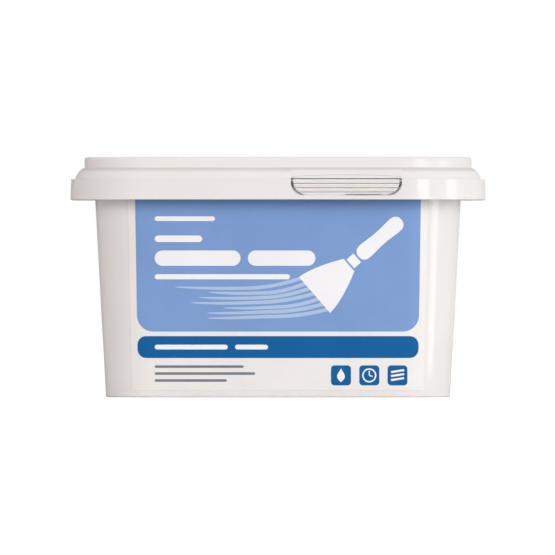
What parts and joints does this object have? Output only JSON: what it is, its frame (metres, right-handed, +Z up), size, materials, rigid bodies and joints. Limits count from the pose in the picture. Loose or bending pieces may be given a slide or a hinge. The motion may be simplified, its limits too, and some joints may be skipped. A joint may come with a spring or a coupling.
{
  "type": "wall filler tub",
  "caption": "Rectangular plastic tub of ready-mixed wall filler, with a lift-off lid, a break-off tab in its collar and printed film labels.",
  "frame": {"origin": "on the ground plane under the middle of the tub, at the middle of the underside of the part's box", "axes": "+Z up through the lid, -Y out of the front face with the break-off tab, +X along the long side to the right as seen from the front"},
  "size_m": [0.228, 0.175, 0.1316],
  "materials": {
    "tub_plastic": "satin",
    "lid_plastic": "satin",
    "label_film": "satin",
    "filler": "matte",
    "clear_film": "gloss"
  },
  "bodies": {
    "tub": {"tub": "tub_plastic", "tab_hinge": "tub_plastic", "tab_bridges": "tub_plastic", "front_label": "label_film", "rear_label": "label_film", "filler_paste": "filler", "cover_film": "clear_film"},
    "lid": {"lid": "lid_plastic", "pull_lip": "lid_plastic"},
    "tear_tab": {"tear_tab": "tub_plastic"}
  },
  "joints": [
    {"name": "lid_lift", "type": "slide", "parent": "tub", "child": "lid", "axis": [0, 0, 1], "range_m": [0, 0.08]},
    {"name": "tab_fold", "type": "hinge", "parent": "tub", "child": "tear_tab", "pos_m": [0.0373, -0.0874, 0.111], "axis": [1, 0, 0], "range_deg": [0, 110]}
  ]
}
